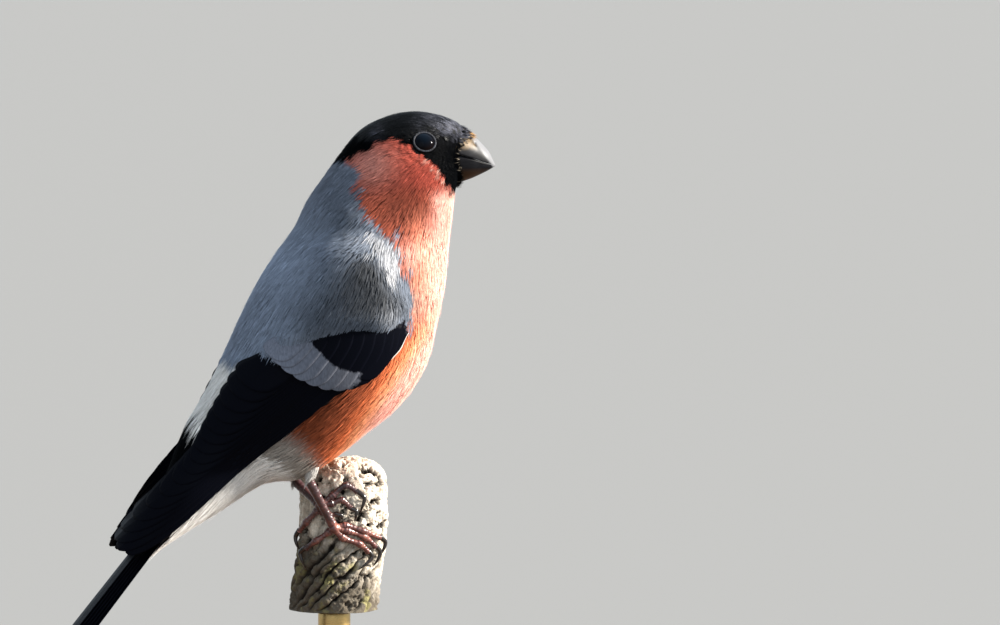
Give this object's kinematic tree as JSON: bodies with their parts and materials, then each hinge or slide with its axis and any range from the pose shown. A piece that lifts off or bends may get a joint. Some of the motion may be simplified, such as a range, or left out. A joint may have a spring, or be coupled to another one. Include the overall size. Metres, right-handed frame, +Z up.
{
  "type": "perched male bullfinch model",
  "caption": "Life-size still model of a male bullfinch gripping a short weathered stub on an oval display base.",
  "frame": {"origin": "centre of the underside of the oval base, on the surface that it stands on", "axes": "+Z up, +X towards the side that the bird faces, -Y towards the bird's right side"},
  "size_m": [0.102, 0.068, 0.1241],
  "materials": {
    "black_plumage": "glossy blue-black feathers of the cap and face",
    "red_plumage": "soft matt feathers, rose red to orange",
    "grey_plumage": "soft matt blue-grey feathers",
    "white_plumage": "soft matt white feathers",
    "flight_feathers": "black feathers with a blue-purple gloss",
    "bill_horn": "smooth black horn, satin",
    "eye": "very dark brown, wet gloss",
    "leg_skin": "dull purple-brown scaly skin",
    "claw_horn": "smooth dark horn",
    "weathered_wood": "bare weathered wood, cracked and rough",
    "base_wood": "satin varnished wood",
    "rod_brass": "brushed brass"
  },
  "bodies": {
    "root": {"head": "black_plumage", "neck": "red_plumage", "torso": "red_plumage", "tail": "flight_feathers", "wing_right": "flight_feathers", "wing_left": "flight_feathers", "bill_upper": "bill_horn", "bill_lower": "bill_horn", "eye_right": "eye", "eye_left": "eye", "thigh_right": "white_plumage", "thigh_left": "white_plumage", "tarsus_right": "leg_skin", "tarsus_left": "leg_skin", "foot_right": "leg_skin", "foot_left": "leg_skin", "perch": "weathered_wood", "stand_base": "base_wood", "stand_rod": "rod_brass", "claw_right_1": "claw_horn", "claw_right_2": "claw_horn", "claw_right_3": "claw_horn", "claw_right_4": "claw_horn", "claw_left_1": "claw_horn", "claw_left_2": "claw_horn", "claw_left_3": "claw_horn", "claw_left_4": "claw_horn"}
  },
  "joints": []
}
